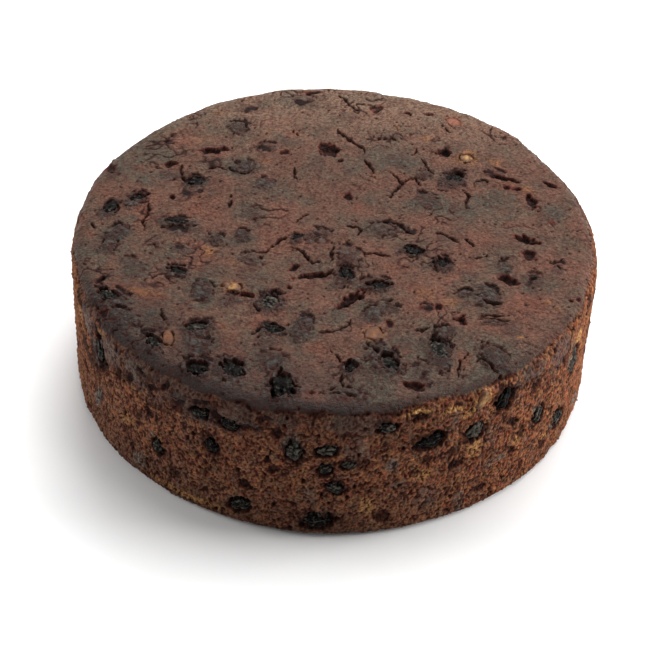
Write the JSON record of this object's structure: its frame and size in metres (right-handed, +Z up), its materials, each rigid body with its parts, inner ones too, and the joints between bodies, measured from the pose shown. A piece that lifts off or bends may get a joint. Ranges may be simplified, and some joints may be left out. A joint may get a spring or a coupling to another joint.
{
  "type": "fruit cake",
  "caption": "Whole round fruit cake with a browned, cracked top crust, a rounded rim and a straight crumb side set with raisins and peel.",
  "frame": {"origin": "centre of the flat base, on the surface that the cake stands on", "axes": "+Z up through the top crust, -Y towards the cake's front, +X to the right seen from the front"},
  "size_m": [0.1997, 0.2018, 0.0629],
  "materials": {
    "cake": "dark browned crust over open rust-brown crumb",
    "raisin": "black-brown wrinkled dried fruit with a soft sheen",
    "peel": "golden candied peel",
    "cherry": "orange-red candied cherry under a skin of crust"
  },
  "bodies": {
    "root": {"cake": "cake", "cherry_01": "cherry", "peel_01": "peel", "peel_02": "peel", "peel_03": "peel", "peel_04": "peel", "peel_05": "peel", "raisin_01": "raisin", "raisin_02": "raisin", "raisin_03": "raisin", "raisin_04": "raisin", "raisin_05": "raisin", "raisin_06": "raisin", "raisin_07": "raisin", "raisin_08": "raisin", "raisin_09": "raisin", "raisin_10": "raisin", "raisin_11": "raisin", "raisin_12": "raisin", "raisin_13": "raisin", "raisin_14": "raisin", "raisin_15": "raisin", "raisin_16": "raisin", "raisin_17": "raisin", "raisin_18": "raisin", "raisin_19": "raisin", "raisin_20": "raisin", "raisin_21": "raisin", "raisin_22": "raisin", "raisin_23": "raisin", "raisin_24": "raisin", "raisin_25": "raisin", "raisin_26": "raisin", "raisin_27": "raisin", "raisin_28": "raisin", "raisin_29": "raisin", "raisin_30": "raisin", "raisin_31": "raisin", "raisin_32": "raisin", "raisin_33": "raisin", "raisin_34": "raisin", "raisin_35": "raisin", "raisin_36": "raisin", "raisin_37": "raisin", "raisin_38": "raisin", "raisin_39": "raisin", "raisin_40": "raisin", "raisin_41": "raisin", "raisin_42": "raisin", "raisin_43": "raisin", "raisin_44": "raisin", "raisin_45": "raisin", "raisin_46": "raisin", "raisin_47": "raisin", "raisin_48": "raisin"}
  },
  "joints": []
}
